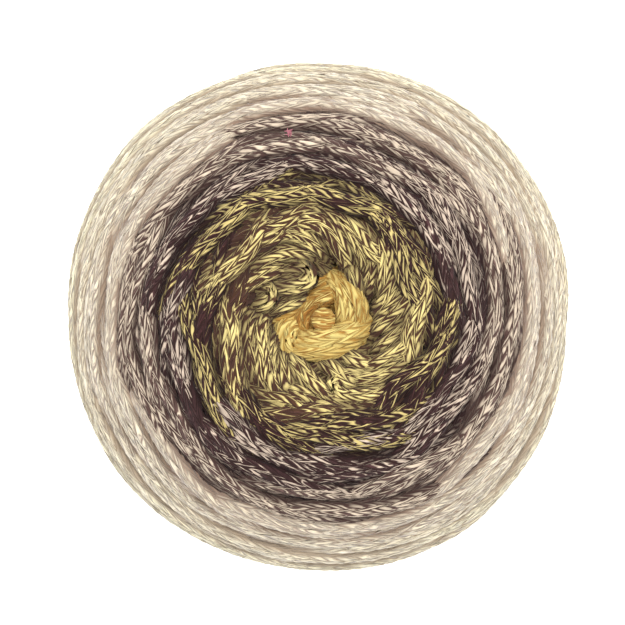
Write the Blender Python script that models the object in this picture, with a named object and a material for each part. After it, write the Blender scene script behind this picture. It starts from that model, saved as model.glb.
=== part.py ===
"""A ball of chain-knit cotton cord, wound in crossing turns about an open heart.

Metres, +Z up. The origin is on the surface that the ball rests on, under the middle of its outline.
The photograph looks straight down, with +X to its right and +Y to its top.
"""

import math

import bmesh
import bpy
import numpy as np

# The ball's real size.
WIDEST = 0.130
HEIGHT = 0.084
CORD_DIAMETER = 0.0050

# Main twists: bundles of turns that lie side by side and show from a step away. Each is a tilted
# loop that turns back at its own place on the section. Those places run from the heart and from the
# foot towards the girth, and each twist sinks under the ones that turn back nearer to it.
TWIST_WIDTH = 0.0074
TWIST_RISE = 0.0030
TWIST_STEP_ROUND = math.radians(74.4)
TWIST_SINK = 0.72
TWIST_LAP = 0.30
TWIST_SETTLING = 0.55
TIGHTEST_TWIST_RADIUS = 0.012
TWIST_RUNS = [
    {"half": "upper", "count": 52, "first": 0.028, "last": 0.53, "spread": 0.0270},
    {"half": "lower", "count": 26, "first": 0.950, "last": 0.68, "spread": 0.0170},
]
# Round the heart and the foot the first twists of each run are tighter loops.
FIRST_SPREAD_SHARE = 0.16
WIDENED_BY = 0.22
HEART_FADE = 0.004
FOOT_FADE = 0.010

# Mesh steps round the ball, and along its section from the heart to the foot.
STEPS_ROUND = 58
STEPS_ALONG = 96

# The heart: the well that the cord's inner end comes out of, right of the outline's middle.
HEART_SHIFT = 0.0018
WELL_FLOOR_HEIGHT = 0.0427
WELL_FLOOR_RADIUS = 0.0031
WELL_MOUTH_RADIUS = 0.0042
WELL_MOUTH_HEIGHT = 0.0742

# Half of the ball's section, from the well's mouth, over the crest, down the side, to its flat foot.
SECTION = [
    {"radius": WELL_MOUTH_RADIUS, "height": WELL_MOUTH_HEIGHT},
    {"radius": 0.0085, "height": 0.0752},
    {"radius": 0.0130, "height": 0.0775},
    {"radius": 0.0190, "height": 0.0805},
    {"radius": 0.0260, "height": 0.0813},
    {"radius": 0.0350, "height": 0.0786},
    {"radius": 0.0450, "height": 0.0720},
    {"radius": 0.0540, "height": 0.0626},
    {"radius": 0.0605, "height": 0.0512},
    {"radius": 0.0630, "height": 0.0390},
    {"radius": 0.0612, "height": 0.0268},
    {"radius": 0.0555, "height": 0.0152},
    {"radius": 0.0470, "height": 0.0062},
    {"radius": 0.0390, "height": 0.0014},
    {"radius": 0.0340, "height": 0.0000},
]

# The outline isn't quite round: its reach towards each side of the photograph, as a share of the mean.
OUTLINE = [
    {"side": "right", "turn": 0, "reach": 0.988},
    {"side": "upper right", "turn": 45, "reach": 1.010},
    {"side": "top", "turn": 90, "reach": 0.996},
    {"side": "upper left", "turn": 135, "reach": 1.012},
    {"side": "left", "turn": 180, "reach": 0.986},
    {"side": "lower left", "turn": 235, "reach": 1.004},
    {"side": "bottom", "turn": 270, "reach": 0.996},
    {"side": "lower right", "turn": 305, "reach": 1.018},
]

# The cord's inner end, from 0.3 mm over the well's floor up to its cut tip, which leans to the
# lower right.
END_ROUTE = [
    (0.0018, 0.0000, 0.0430),
    (0.0018, 0.0000, 0.0500),
    (0.0017, 0.0001, 0.0580),
    (0.0017, 0.0001, 0.0650),
    (0.0019, -0.0001, 0.0710),
    (0.0022, -0.0004, 0.0753),
    (0.0027, -0.0009, 0.0788),
]
END_STEP = 0.6 * CORD_DIAMETER


def clear_scene():
    for obj in list(bpy.data.objects):
        bpy.data.objects.remove(obj, do_unlink=True)


def cotton(name, colour, roughness):
    material = bpy.data.materials.new(name)
    material.use_nodes = True
    shader = material.node_tree.nodes["Principled BSDF"]
    shader.inputs["Base Color"].default_value = (*colour, 1)
    shader.inputs["Roughness"].default_value = roughness
    shader.inputs["Metallic"].default_value = 0.0
    return material


def smooth_curve(points, count):
    """Even steps along a smooth curve through the points."""
    points = np.array(points, float)
    before = 2 * points[0] - points[1]
    after = 2 * points[-1] - points[-2]
    path = np.vstack([before, points, after])
    fine = []
    for i in range(1, len(path) - 2):
        a, b, c, d = path[i - 1 : i + 3]
        for t in np.linspace(0, 1, 24, endpoint=False):
            bend = 2 * a - 5 * b + 4 * c - d
            twist = 3 * b - a - 3 * c + d
            fine.append(b + 0.5 * t * ((c - a) + t * (bend + t * twist)))
    fine.append(path[-2])
    fine = np.array(fine)
    steps = np.linalg.norm(np.diff(fine, axis=0), axis=1)
    along = np.concatenate([[0], np.cumsum(steps)])
    wanted = np.linspace(0, along[-1], count)
    return np.column_stack([np.interp(wanted, along, axis) for axis in fine.T])


def outline_reach(turn):
    """How far the outline reaches in this direction, smooth all the way round."""
    turns = [math.radians(row["turn"]) for row in OUTLINE]
    reaches = [row["reach"] for row in OUTLINE]
    turns = np.array([turns[-1] - 2 * math.pi, *turns, turns[0] + 2 * math.pi])
    reaches = np.array([reaches[-1], *reaches, reaches[0]])
    return np.interp(turn % (2 * math.pi), turns, reaches)


def twists():
    """Every twist in the order it is wound: when, where it turns back, its number and its run."""
    found = []
    for run in TWIST_RUNS:
        for number in range(run["count"]):
            when = number / (run["count"] - 1)
            place = run["first"] + (run["last"] - run["first"]) * when
            found.append((when, place, number, run))
    return sorted(found, key=lambda twist: twist[0])


def twist_relief(radii, step):
    """The height of the crossing twists over the section, one row of numbers for each step round.

    Each twist comes in over the one before it, turns back and dives under the next.
    """
    turns = np.arange(STEPS_ROUND) * 2 * math.pi / STEPS_ROUND
    rows = np.arange(STEPS_ALONG) * step
    relief = np.full((STEPS_ROUND, STEPS_ALONG), -TWIST_RISE * TWIST_SETTLING)
    for when, place, number, run in twists():
        turning = place * rows[-1]
        widened = FIRST_SPREAD_SHARE + (1 - FIRST_SPREAD_SHARE) * min(1.0, when / WIDENED_BY)
        spread = run["spread"] * widened
        offset = turns + number * TWIST_STEP_ROUND
        away = spread * (1 - np.cos(offset))
        outwards = 1 if run["half"] == "upper" else -1
        middle = turning + outwards * away
        radius = max(TIGHTEST_TWIST_RADIUS, np.interp(turning, rows, radii))
        half = 0.5 * TWIST_WIDTH * np.hypot(1, spread * np.sin(offset) / radius)
        covered = np.minimum(away, abs(run["last"] - place) * rows[-1])
        level = TWIST_LAP * np.sin(offset) - TWIST_SINK * covered / TWIST_WIDTH
        across = (rows[None, :] - middle[:, None]) / half[:, None]
        height = level[:, None] + np.sqrt(np.clip(1 - across**2, 0, None))
        relief = np.where(np.abs(across) < 1, np.maximum(relief, TWIST_RISE * height), relief)
    return relief - TWIST_RISE * TWIST_SETTLING


def heart_hold(radius, height):
    """How much of the section's place is fixed to the heart: all at the well, none from the girth down."""
    if height < HEIGHT / 2:
        return 0.0
    return min(1.0, (WIDEST / 2 - radius) / (WIDEST / 2 - WELL_MOUTH_RADIUS))


def ball_rings():
    """Rings of points from the well's mouth to the foot's edge, with the twists raised."""
    section = smooth_curve([(row["radius"], row["height"]) for row in SECTION], STEPS_ALONG)
    step = float(np.linalg.norm(section[1] - section[0]))
    along = np.gradient(section, axis=0)
    along /= np.linalg.norm(along, axis=1)[:, None]
    outward = np.column_stack([-along[:, 1], along[:, 0]])
    relief = twist_relief(section[:, 0], step)
    distance = np.arange(STEPS_ALONG) * step
    from_foot = distance[-1] - distance
    fade = np.clip(distance / HEART_FADE, 0, 1) * np.clip(from_foot / FOOT_FADE, 0, 1)
    turns = np.arange(STEPS_ROUND) * 2 * math.pi / STEPS_ROUND
    reach = outline_reach(turns)
    rings = []
    for i in range(STEPS_ALONG):
        radius, height = section[i]
        raised = relief[:, i] * fade[i]
        out_of_round = 1 + (reach - 1) * radius / (WIDEST / 2)
        r = (radius + outward[i, 0] * raised) * out_of_round
        z = np.maximum(height + outward[i, 1] * raised, 0.0)
        rings.append(np.column_stack([r * np.cos(turns), r * np.sin(turns), z]))
    rings = np.array(rings)

    # Drawn out to the ball's own width and height, with the outline's middle over the origin.
    low, high = rings.min(axis=(0, 1)), rings.max(axis=(0, 1))
    middle = (low + high) / 2
    rings[:, :, :2] *= WIDEST / (high[:2] - low[:2]).mean()
    rings[:, :, 2] *= HEIGHT / high[2]
    for i, (radius, height) in enumerate(section):
        hold = heart_hold(radius, height)
        rings[i, :, 0] += HEART_SHIFT * hold - middle[0] * (1 - hold)
        rings[i, :, 1] -= middle[1] * (1 - hold)
    return rings


def wound_ball():
    rings = ball_rings()
    turns = np.arange(STEPS_ROUND) * 2 * math.pi / STEPS_ROUND
    floor = np.column_stack(
        [
            HEART_SHIFT + WELL_FLOOR_RADIUS * np.cos(turns),
            WELL_FLOOR_RADIUS * np.sin(turns),
            np.full(STEPS_ROUND, WELL_FLOOR_HEIGHT),
        ]
    )
    bm = bmesh.new()
    loops = [[bm.verts.new(point) for point in ring] for ring in [floor, *rings]]
    for inner, outer in zip(loops, loops[1:]):
        for i in range(STEPS_ROUND):
            j = (i + 1) % STEPS_ROUND
            bm.faces.new((inner[i], outer[i], outer[j], inner[j]))
    bm.faces.new(loops[0])
    bm.faces.new(loops[-1])
    bmesh.ops.recalc_face_normals(bm, faces=bm.faces)
    mesh = bpy.data.meshes.new("ball")
    bm.to_mesh(mesh)
    bm.free()
    mesh.shade_smooth()
    mesh.set_sharp_from_angle(angle=math.radians(75))
    ball = bpy.data.objects.new("ball", mesh)
    bpy.context.collection.objects.link(ball)
    ball.data.materials.append(cotton("cream_and_charcoal_cotton", (0.48, 0.42, 0.34), 0.9))
    return ball


def loose_end():
    route = np.array(END_ROUTE)
    length = float(np.linalg.norm(np.diff(route, axis=0), axis=1).sum())
    points = smooth_curve(END_ROUTE, round(length / END_STEP) + 1)
    curve = bpy.data.curves.new("loose_end", "CURVE")
    curve.dimensions = "3D"
    curve.bevel_depth = CORD_DIAMETER / 2
    curve.bevel_resolution = 3
    curve.use_fill_caps = True
    spline = curve.splines.new("POLY")
    spline.points.add(len(points) - 1)
    for place, point in zip(spline.points, points):
        place.co = (*point, 1)
    end = bpy.data.objects.new("loose_end", curve)
    bpy.context.collection.objects.link(end)
    end.data.materials.append(cotton("golden_cotton", (0.78, 0.55, 0.16), 0.9))
    return end


clear_scene()
wound_ball()
loose_end()
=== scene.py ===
"""The look of a ball of chain-knit cotton cord, wound clockwise in crossing turns about an open heart.

The cord is one length whose colour changes along it: golden yellow at the heart, then yellow with
charcoal, charcoal, ash and cream. Metres, in the frame of the solids: +Z up, the floor at zero.
"""

import math

import bpy
import numpy as np
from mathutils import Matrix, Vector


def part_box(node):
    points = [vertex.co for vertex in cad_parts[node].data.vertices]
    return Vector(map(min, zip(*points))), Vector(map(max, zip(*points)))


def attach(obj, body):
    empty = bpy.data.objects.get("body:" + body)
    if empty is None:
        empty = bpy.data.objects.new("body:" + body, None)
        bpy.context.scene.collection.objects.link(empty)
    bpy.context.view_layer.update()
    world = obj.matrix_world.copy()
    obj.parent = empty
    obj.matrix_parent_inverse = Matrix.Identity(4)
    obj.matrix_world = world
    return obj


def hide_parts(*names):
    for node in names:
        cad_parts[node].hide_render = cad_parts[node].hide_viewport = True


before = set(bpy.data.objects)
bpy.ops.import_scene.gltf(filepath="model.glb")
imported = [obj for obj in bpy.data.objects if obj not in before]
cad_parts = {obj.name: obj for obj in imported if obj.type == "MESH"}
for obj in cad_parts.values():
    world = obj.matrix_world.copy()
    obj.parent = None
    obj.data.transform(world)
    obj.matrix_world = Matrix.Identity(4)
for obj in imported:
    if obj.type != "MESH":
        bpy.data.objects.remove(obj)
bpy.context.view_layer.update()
ball_low, ball_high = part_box("ball")

# The view: straight down on the ball, which stands a little right of and below the frame's middle.
# The eye is far enough off that the crest looks only a tenth nearer than the girth.
PHOTO_PIXELS = 625
BALL_PIXELS = 505
BALL_MIDDLE_PIXEL = (318, 317)
GIRTH_HEIGHT = 0.041
EYE_HEIGHT = 0.60
pixel = (ball_high[0] - ball_low[0]) / BALL_PIXELS
bpy.ops.object.camera_add(
    location=(
        -(BALL_MIDDLE_PIXEL[0] - PHOTO_PIXELS / 2) * pixel,
        (BALL_MIDDLE_PIXEL[1] - PHOTO_PIXELS / 2) * pixel,
        EYE_HEIGHT,
    ),
    rotation=(0, 0, 0),
)
camera = bpy.context.object
camera.name = "camera"
camera.data.lens = camera.data.sensor_width * (EYE_HEIGHT - GIRTH_HEIGHT) / (PHOTO_PIXELS * pixel)
bpy.context.scene.camera = camera
bpy.context.scene.view_settings.view_transform = "Standard"

# The light: a white studio that reaches the ball from all sides, and a broad lamp high over it, a
# little towards its top and right.
STUDIO_STRENGTH = 0.92
LAMP_STRENGTH = 1.8
world = bpy.data.worlds.new("studio")
world.use_nodes = True
world.node_tree.nodes["Background"].inputs["Color"].default_value = (1.0, 0.985, 0.97, 1)
world.node_tree.nodes["Background"].inputs["Strength"].default_value = STUDIO_STRENGTH
bpy.context.scene.world = world
bpy.ops.object.light_add(type="SUN", location=(0.1, 0.3, 0.9), rotation=(-0.34, 0.12, 0))
lamp = bpy.context.object
lamp.name = "lamp"
lamp.data.energy = LAMP_STRENGTH
lamp.data.angle = math.radians(50)
lamp.data.color = (1.0, 0.97, 0.92)

# The floor: a plain white sheet of board, lit a little from under, so that it stays white all over.
FLOOR_GLOW = 0.60
bpy.ops.mesh.primitive_plane_add(size=4.0, location=(0, 0, 0))
floor = bpy.context.object
floor.name = "floor"
board = bpy.data.materials.new("white_board")
board.use_nodes = True
board.node_tree.nodes["Principled BSDF"].inputs["Base Color"].default_value = (0.93, 0.93, 0.94, 1)
board.node_tree.nodes["Principled BSDF"].inputs["Roughness"].default_value = 0.9
board.node_tree.nodes["Principled BSDF"].inputs["Emission Color"].default_value = (1.0, 0.99, 1.0, 1)
board.node_tree.nodes["Principled BSDF"].inputs["Emission Strength"].default_value = FLOOR_GLOW
floor.data.materials.append(board)

# The cotton of the cord. It is knitted as a thin tube of chain stitches, and each stitch shows as a
# long slanted leg of soft thread. Two colours of thread run together, so a leg is one or the other.
# The cord's own map counts legs: one step of U is a leg's length, one step of V its width.


def chain_knit_group():
    """Colour, roughness and height of the legs, from the cord's map, light share and painted shade."""
    group = bpy.data.node_groups.new("chain_knit_cotton", "ShaderNodeTree")
    face = group.interface
    for name, kind in [
        ("Light Thread", "NodeSocketColor"),
        ("Dark Thread", "NodeSocketColor"),
        ("Crease", "NodeSocketColor"),
        ("Gap Shade", "NodeSocketColor"),
        ("Crease Width", "NodeSocketFloat"),
        ("Fibre Contrast", "NodeSocketFloat"),
        ("Mixing", "NodeSocketFloat"),
        ("Widest", "NodeSocketFloat"),
    ]:
        face.new_socket(name, in_out="INPUT", socket_type=kind)
    face.new_socket("Color", in_out="OUTPUT", socket_type="NodeSocketColor")
    face.new_socket("Roughness", in_out="OUTPUT", socket_type="NodeSocketFloat")
    face.new_socket("Height", in_out="OUTPUT", socket_type="NodeSocketFloat")
    nodes, links = group.nodes, group.links
    asked = nodes.new("NodeGroupInput")
    given = nodes.new("NodeGroupOutput")

    def feed(socket, value):
        if isinstance(value, (int, float)):
            socket.default_value = value
        else:
            links.new(value, socket)

    def math_node(operation, *values, clamp=False):
        node = nodes.new("ShaderNodeMath")
        node.operation = operation
        node.use_clamp = clamp
        for socket, value in zip(node.inputs, values):
            feed(socket, value)
        return node.outputs[0]

    def scaled(value, by, plus):
        return math_node("MULTIPLY_ADD", value, by, plus)

    def soft_step(value, low, high):
        node = nodes.new("ShaderNodeMapRange")
        node.interpolation_type = "SMOOTHSTEP"
        feed(node.inputs["Value"], value)
        feed(node.inputs["From Min"], low)
        feed(node.inputs["From Max"], high)
        return node.outputs["Result"]

    def blend(share, first, second):
        # The mix node keeps its colour sockets at 6 and 7, and gives the mixed colour at 2.
        node = nodes.new("ShaderNodeMix")
        node.data_type = "RGBA"
        feed(node.inputs[0], share)
        feed(node.inputs[6], first)
        feed(node.inputs[7], second)
        return node.outputs[2]

    stitch = nodes.new("ShaderNodeUVMap")
    stitch.uv_map = "stitch"
    place = nodes.new("ShaderNodeSeparateXYZ")
    links.new(stitch.outputs["UV"], place.inputs[0])
    along_leg, across_leg = place.outputs["X"], place.outputs["Y"]

    # The legs aren't ruled lines: slow noise pushes each one to and fro.
    slow = nodes.new("ShaderNodeTexNoise")
    slow.noise_dimensions = "2D"
    slow.inputs["Scale"].default_value = 0.9
    slow.inputs["Detail"].default_value = 1.0
    links.new(stitch.outputs["UV"], slow.inputs["Vector"])
    push = nodes.new("ShaderNodeSeparateColor")
    links.new(slow.outputs["Color"], push.inputs[0])
    along_leg = math_node("ADD", along_leg, scaled(push.outputs[0], 1.0, -0.5))
    across_leg = math_node("ADD", across_leg, scaled(push.outputs[1], 1.0, -0.5))
    leg = nodes.new("ShaderNodeCombineXYZ")
    links.new(math_node("FLOOR", along_leg), leg.inputs["X"])
    links.new(math_node("FLOOR", across_leg), leg.inputs["Y"])
    chance = nodes.new("ShaderNodeTexWhiteNoise")
    chance.noise_dimensions = "2D"
    links.new(leg.outputs[0], chance.inputs["Vector"])
    pick = nodes.new("ShaderNodeSeparateColor")
    links.new(chance.outputs["Color"], pick.inputs[0])
    width_chance, tone_chance, side_chance = pick.outputs[:3]

    # Each leg is two threads side by side. The light one shows as a stroke along the leg, wider or
    # narrower by chance and by the light share of the cord there, and thin towards the leg's ends.
    askew = scaled(along_leg, 0.3, across_leg)
    lie = nodes.new("ShaderNodeCombineXYZ")
    links.new(math_node("MULTIPLY", along_leg, 1.3), lie.inputs["X"])
    links.new(math_node("MULTIPLY", askew, 5.5), lie.inputs["Y"])
    fibre = nodes.new("ShaderNodeTexNoise")
    fibre.noise_dimensions = "2D"
    fibre.inputs["Scale"].default_value = 1.0
    fibre.inputs["Detail"].default_value = 2.0
    links.new(lie.outputs[0], fibre.inputs["Vector"])
    part_across = math_node("FRACT", across_leg)
    part_along = math_node("FRACT", along_leg)
    ridge = math_node("PINGPONG", math_node("MULTIPLY", across_leg, 2.0), 1.0)
    belly = math_node("PINGPONG", math_node("MULTIPLY", along_leg, 2.0), 1.0)
    one_wave = math_node("MULTIPLY", part_along, round(2 * math.pi, 3))
    bow = scaled(math_node("SINE", one_wave), 0.20, 0.5)
    centre = math_node("ADD", scaled(side_chance, 0.26, -0.13), bow)
    aside = math_node("ABSOLUTE", math_node("SUBTRACT", part_across, centre))
    aside = math_node("MULTIPLY", aside, 2.0)
    share = nodes.new("ShaderNodeAttribute")
    share.attribute_name = "light_share"
    wide = scaled(width_chance, asked.outputs["Mixing"], share.outputs["Fac"])
    wide = math_node("SUBTRACT", wide, math_node("MULTIPLY", asked.outputs["Mixing"], 0.5))
    wide = math_node("MINIMUM", wide, asked.outputs["Widest"])
    wide = math_node("MULTIPLY", wide, scaled(soft_step(belly, 0.0, 0.3), 0.35, 0.65))
    wide = math_node("ADD", wide, scaled(fibre.outputs["Fac"], 0.4, -0.2))
    dark = soft_step(math_node("SUBTRACT", aside, wide), -0.24, 0.20)
    thread = blend(dark, asked.outputs["Light Thread"], asked.outputs["Dark Thread"])
    # Painted shade across each stroke: darker towards its edges, as on a round thread; the dark thread
    # less so.
    middling = math_node("DIVIDE", aside, math_node("MAXIMUM", wide, 0.15), clamp=True)
    round_thread_shade = scaled(math_node("POWER", middling, 2.0), -0.42, 1.12)
    round_thread_shade = math_node("ADD", round_thread_shade, math_node("MULTIPLY", dark, 0.3))

    # Each leg is a little lighter or deeper than the next, and its fibres vary again. The painted shade
    # across the stroke is laid over both.
    tone = scaled(tone_chance, 0.30, 0.85)
    uneven = scaled(dark, 0.8, asked.outputs["Fibre Contrast"])
    grain = scaled(scaled(fibre.outputs["Fac"], 2.0, -1.0), uneven, 1.0)
    tone = math_node("MULTIPLY", math_node("MULTIPLY", tone, grain), round_thread_shade)
    toned = nodes.new("ShaderNodeVectorMath")
    toned.operation = "SCALE"
    links.new(thread, toned.inputs[0])
    links.new(tone, toned.inputs["Scale"])

    # Painted shade: the creases beside a leg and where its ends tuck in are painted in the crease
    # colour, and the spots deep between turns or on a cord's side in the gap colour.
    open_side = soft_step(ridge, 0.0, asked.outputs["Crease Width"])
    open_end = soft_step(belly, -0.08, 0.24)
    clear_of_crease = math_node("MULTIPLY", open_side, open_end)
    deep = nodes.new("ShaderNodeAttribute")
    deep.attribute_name = "openness_to_light"
    creased = blend(clear_of_crease, asked.outputs["Crease"], toned.outputs[0])
    seen = scaled(soft_step(deep.outputs["Fac"], 0.3, 1.0), 0.9, 0.1)
    colour = blend(seen, asked.outputs["Gap Shade"], creased)
    links.new(colour, given.inputs["Color"])
    links.new(scaled(fibre.outputs["Fac"], 0.16, 0.78), given.inputs["Roughness"])
    swell = math_node("MULTIPLY", math_node("POWER", ridge, 0.6), open_end)
    links.new(scaled(fibre.outputs["Fac"], 0.45, swell), given.inputs["Height"])
    return group


chain_knit = chain_knit_group()


def cord_cotton(name, light, dark, crease, gap_shade, crease_width=0.60, widest=0.70, fuzz=0.06):
    """The cotton of one stretch of the cord, in its own two thread colours and two of painted shade."""
    material = bpy.data.materials.new(name)
    material.use_nodes = True
    nodes, links = material.node_tree.nodes, material.node_tree.links
    shader = nodes["Principled BSDF"]
    shader.inputs["Metallic"].default_value = 0.0
    shader.inputs["Specular IOR Level"].default_value = 0.12
    shader.inputs["Sheen Weight"].default_value = fuzz
    shader.inputs["Sheen Roughness"].default_value = 0.6
    look = nodes.new("ShaderNodeGroup")
    look.node_tree = chain_knit
    look.inputs["Light Thread"].default_value = (*light, 1)
    look.inputs["Dark Thread"].default_value = (*dark, 1)
    look.inputs["Crease"].default_value = (*crease, 1)
    look.inputs["Gap Shade"].default_value = (*gap_shade, 1)
    look.inputs["Crease Width"].default_value = crease_width
    look.inputs["Fibre Contrast"].default_value = 0.3
    look.inputs["Mixing"].default_value = 0.9
    look.inputs["Widest"].default_value = widest
    bump = nodes.new("ShaderNodeBump")
    bump.inputs["Strength"].default_value = 0.7
    bump.inputs["Distance"].default_value = 0.00045
    links.new(look.outputs["Color"], shader.inputs["Base Color"])
    links.new(look.outputs["Roughness"], shader.inputs["Roughness"])
    links.new(look.outputs["Height"], bump.inputs["Height"])
    links.new(bump.outputs["Normal"], shader.inputs["Normal"])
    return material


# The cord's own shape. Fourteen columns of legs go round it, leaning by turns left and right, so the
# legs of two columns meet in a chain of Vs. A row of points follows each crease, shoulder and ridge;
# turns further out have fewer rows. Ten of the columns can show, and the rest face into the ball.
CORD_DIAMETER = 0.0048
CORD_RADIUS = CORD_DIAMETER / 2
CORD_WIDE = 1.12
CORD_TALL = 0.90
LEG_COLUMNS = 14
SHOWN_COLUMNS = 10
LEG_PITCH = 0.0029
LEG_LEAN = 0.0048
LEG_RISE = 0.00020
BORDER_RISE = 0.45
LEG_SHAPE = {
    "fine": np.array([-1.0, 0.45, 1.0, 0.45]),
    "middling": np.array([-1.0, 0.8]),
    "plain": np.array([0.2]),
}
HALF_COLUMNS = np.append(np.arange(0, SHOWN_COLUMNS, 0.5), np.arange(SHOWN_COLUMNS, LEG_COLUMNS))
COLUMNS = {"fine": HALF_COLUMNS, "middling": HALF_COLUMNS, "plain": np.arange(0.0, LEG_COLUMNS)}
WIDER_LEAN = 0.24
FEWEST_ROWS = 4
END_RAMP = 0.008

# Each leg strays a little from its place, along the cord and round it, and stands higher or lower for
# it, so the chain is uneven.
LEG_STRAY = 0.00060
SIDE_STRAY = 0.085
STRAY_LIFT = 0.12
CHANCE_START = 5
SPARE_COURSES = 3

# Painted shade: how much darker the cotton on the cord's sides is painted than on its top.
SIDE_SHADE = 0.45
SHADE_FROM = 0.30
SHADE_SLOPE = 1.1

# The flat map: the legs left free between two tubes, the margin inside a band, a hair to keep a face
# in its own band, and the spot that holds the tubes' ends.
COURSE_GAP = 4
BAND_MARGIN = 0.04
HAIR = 1e-6
SPARE_SPOT = 0.9995


def leg_chance(seed, course, column):
    """Two smooth chances at each point of a tube: how far its leg strays along the cord and round it."""
    low = course.astype(int)
    place = column.astype(int)
    chance = np.random.default_rng(seed).normal(0, 1, (2, low[-1] + SPARE_COURSES, LEG_COLUMNS))
    chance = chance[:, low] + (chance[:, low + 1] - chance[:, low]) * (course - low)[:, None]
    chance = np.concatenate([chance, chance[:, :, :1]], axis=2)
    return chance[:, :, place] + (chance[:, :, place + 1] - chance[:, :, place]) * (column - place)


def leans(column):
    """How far along the cord the legs have run at each of these places across their columns."""
    return LEG_LEAN * (1 - np.abs(column % 2 - 1))


def tube_points(run, count, seed, wide, tall):
    """The points of one knitted tube, row after row, with their light share and painted side shade."""
    column = COLUMNS[run["detail"]]
    shape = LEG_SHAPE[run["detail"]]
    border = np.arange(LEG_COLUMNS + 1)
    border = (border + WIDER_LEAN * (border % 2) - SHOWN_COLUMNS / 2) * 2 * math.pi / LEG_COLUMNS
    angle = np.interp(column, np.arange(LEG_COLUMNS + 1), border)
    border_share = np.where(column % 1 == 0, BORDER_RISE, 1.0)
    border_dip = np.where(column % 1 == 0, BORDER_RISE, 0.0)
    length = run["along"][-1]
    rows = np.arange(count + 1)
    to_end = np.minimum(rows, count - rows) * (LEG_PITCH / len(shape))
    ramp = np.clip(to_end / END_RAMP, 0, 1)[:, None]
    chance = leg_chance(seed, rows / len(shape), column)
    strayed = chance[0] * LEG_STRAY
    along = rows[:, None] * length / count + (leans(column) - LEG_LEAN / 2 + strayed) * ramp
    along = np.clip(along, 0, length)

    def at(values):
        return np.interp(along, run["along"], values)

    middle = np.stack([at(axis) for axis in run["middle"].T], -1)
    out = np.stack([at(axis) for axis in run["out"].T], -1)
    side = np.stack([at(axis) for axis in run["side"].T], -1)
    rise = shape[rows % len(shape)][:, None] * border_share
    rise = LEG_RISE * (rise - border_dip) + STRAY_LIFT * strayed
    girth = at(run["radius"]) + rise
    turned = angle + at(run["roll"]) + chance[1] * SIDE_STRAY
    point = middle + out * (np.cos(turned) * girth * tall)[..., None]
    point += side * (np.sin(turned) * girth * wide)[..., None]
    # Painted shade: the further a point is turned from the cord's top, the darker its cotton is painted.
    open_side = np.clip(SIDE_SHADE + (np.cos(turned) - SHADE_FROM) * SHADE_SLOPE, SIDE_SHADE, 1.0)
    return point, at(run["share"]), open_side


def tube_faces(detail, count):
    """The four-sided faces of one tube, each in the order that folds it along its leg, and their map."""
    column = COLUMNS[detail]
    around = len(column)
    beside = np.append(column[1:], LEG_COLUMNS)
    lean = leans(column)
    row, col = np.meshgrid(np.arange(count), np.arange(around), indexing="ij")
    corners = np.stack([row * around + col, row * around + (col + 1) % around], -1)
    corners = np.concatenate([corners, corners[..., ::-1] + around], -1)
    u = np.stack([column[col], beside[col], beside[col], column[col]], -1)
    v = np.stack([row, row, row + 1, row + 1], -1) / len(LEG_SHAPE[detail])
    turn_here = (np.append(lean[1:], lean[0]) > lean)[col][..., None]
    return [np.where(turn_here, np.roll(x, -1, -1), x).reshape(-1, 4) for x in (corners, u, v)]


def tube_ends(around, count):
    """The two fans of faces that close a tube's ends, which lie inside the ball."""
    middle = (count + 1) * around
    k = np.arange(around)
    j = (k + 1) % around
    first = np.column_stack([np.full(around, middle), j, k])
    last = np.column_stack([np.full(around, middle + 1), count * around + k, count * around + j])
    return np.concatenate([first, last])


def flat_map(places, length_made, spare):
    """Where each face corner lies when the tubes are laid out flat, in bands side by side."""
    band_length = math.sqrt(length_made * 2 * math.pi * CORD_RADIUS * CORD_WIDE) + LEG_PITCH
    bands = math.ceil(length_made / band_length)
    along, around, face_start = places.T
    band = np.floor(face_start / band_length + HAIR)
    u = (along - band * band_length) / (band_length + LEG_PITCH)
    v = (band + BAND_MARGIN + (1 - 2 * BAND_MARGIN) * around / LEG_COLUMNS) / bands
    return np.concatenate([np.column_stack([u, v]), np.full((spare, 2), SPARE_SPOT)])


def store(mesh, name, values):
    """Keeps one number for each point of the mesh, for the cotton to read."""
    kept = mesh.attributes.new(name, "FLOAT", "POINT").data
    kept.foreach_set("value", np.asarray(values, np.float32))


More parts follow.
